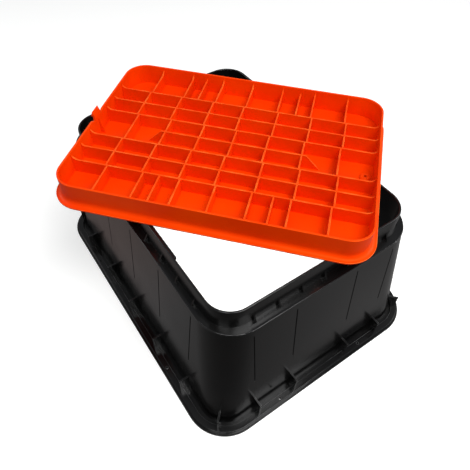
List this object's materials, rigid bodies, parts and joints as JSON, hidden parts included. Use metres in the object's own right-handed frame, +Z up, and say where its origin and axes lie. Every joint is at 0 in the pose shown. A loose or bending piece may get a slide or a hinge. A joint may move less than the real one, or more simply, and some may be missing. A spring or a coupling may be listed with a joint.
{
  "type": "irrigation valve box",
  "caption": "Tapered open-bottomed ground box with a foot flange, gussets and a ledged neck, and its ribbed lid lying upside down across the neck.",
  "frame": {"origin": "centre of the foot flange on the ground, which is the centre of the anchor hole patterns", "axes": "+X along the box's long side, +Y along its short side, +Z up through the neck"},
  "size_m": [0.671, 0.6098, 0.3607],
  "materials": {
    "box_black": "satin moulded black",
    "lid_orange": "satin moulded orange"
  },
  "bodies": {
    "root": {"box_body": "box_black", "lid": "lid_orange"}
  },
  "joints": []
}
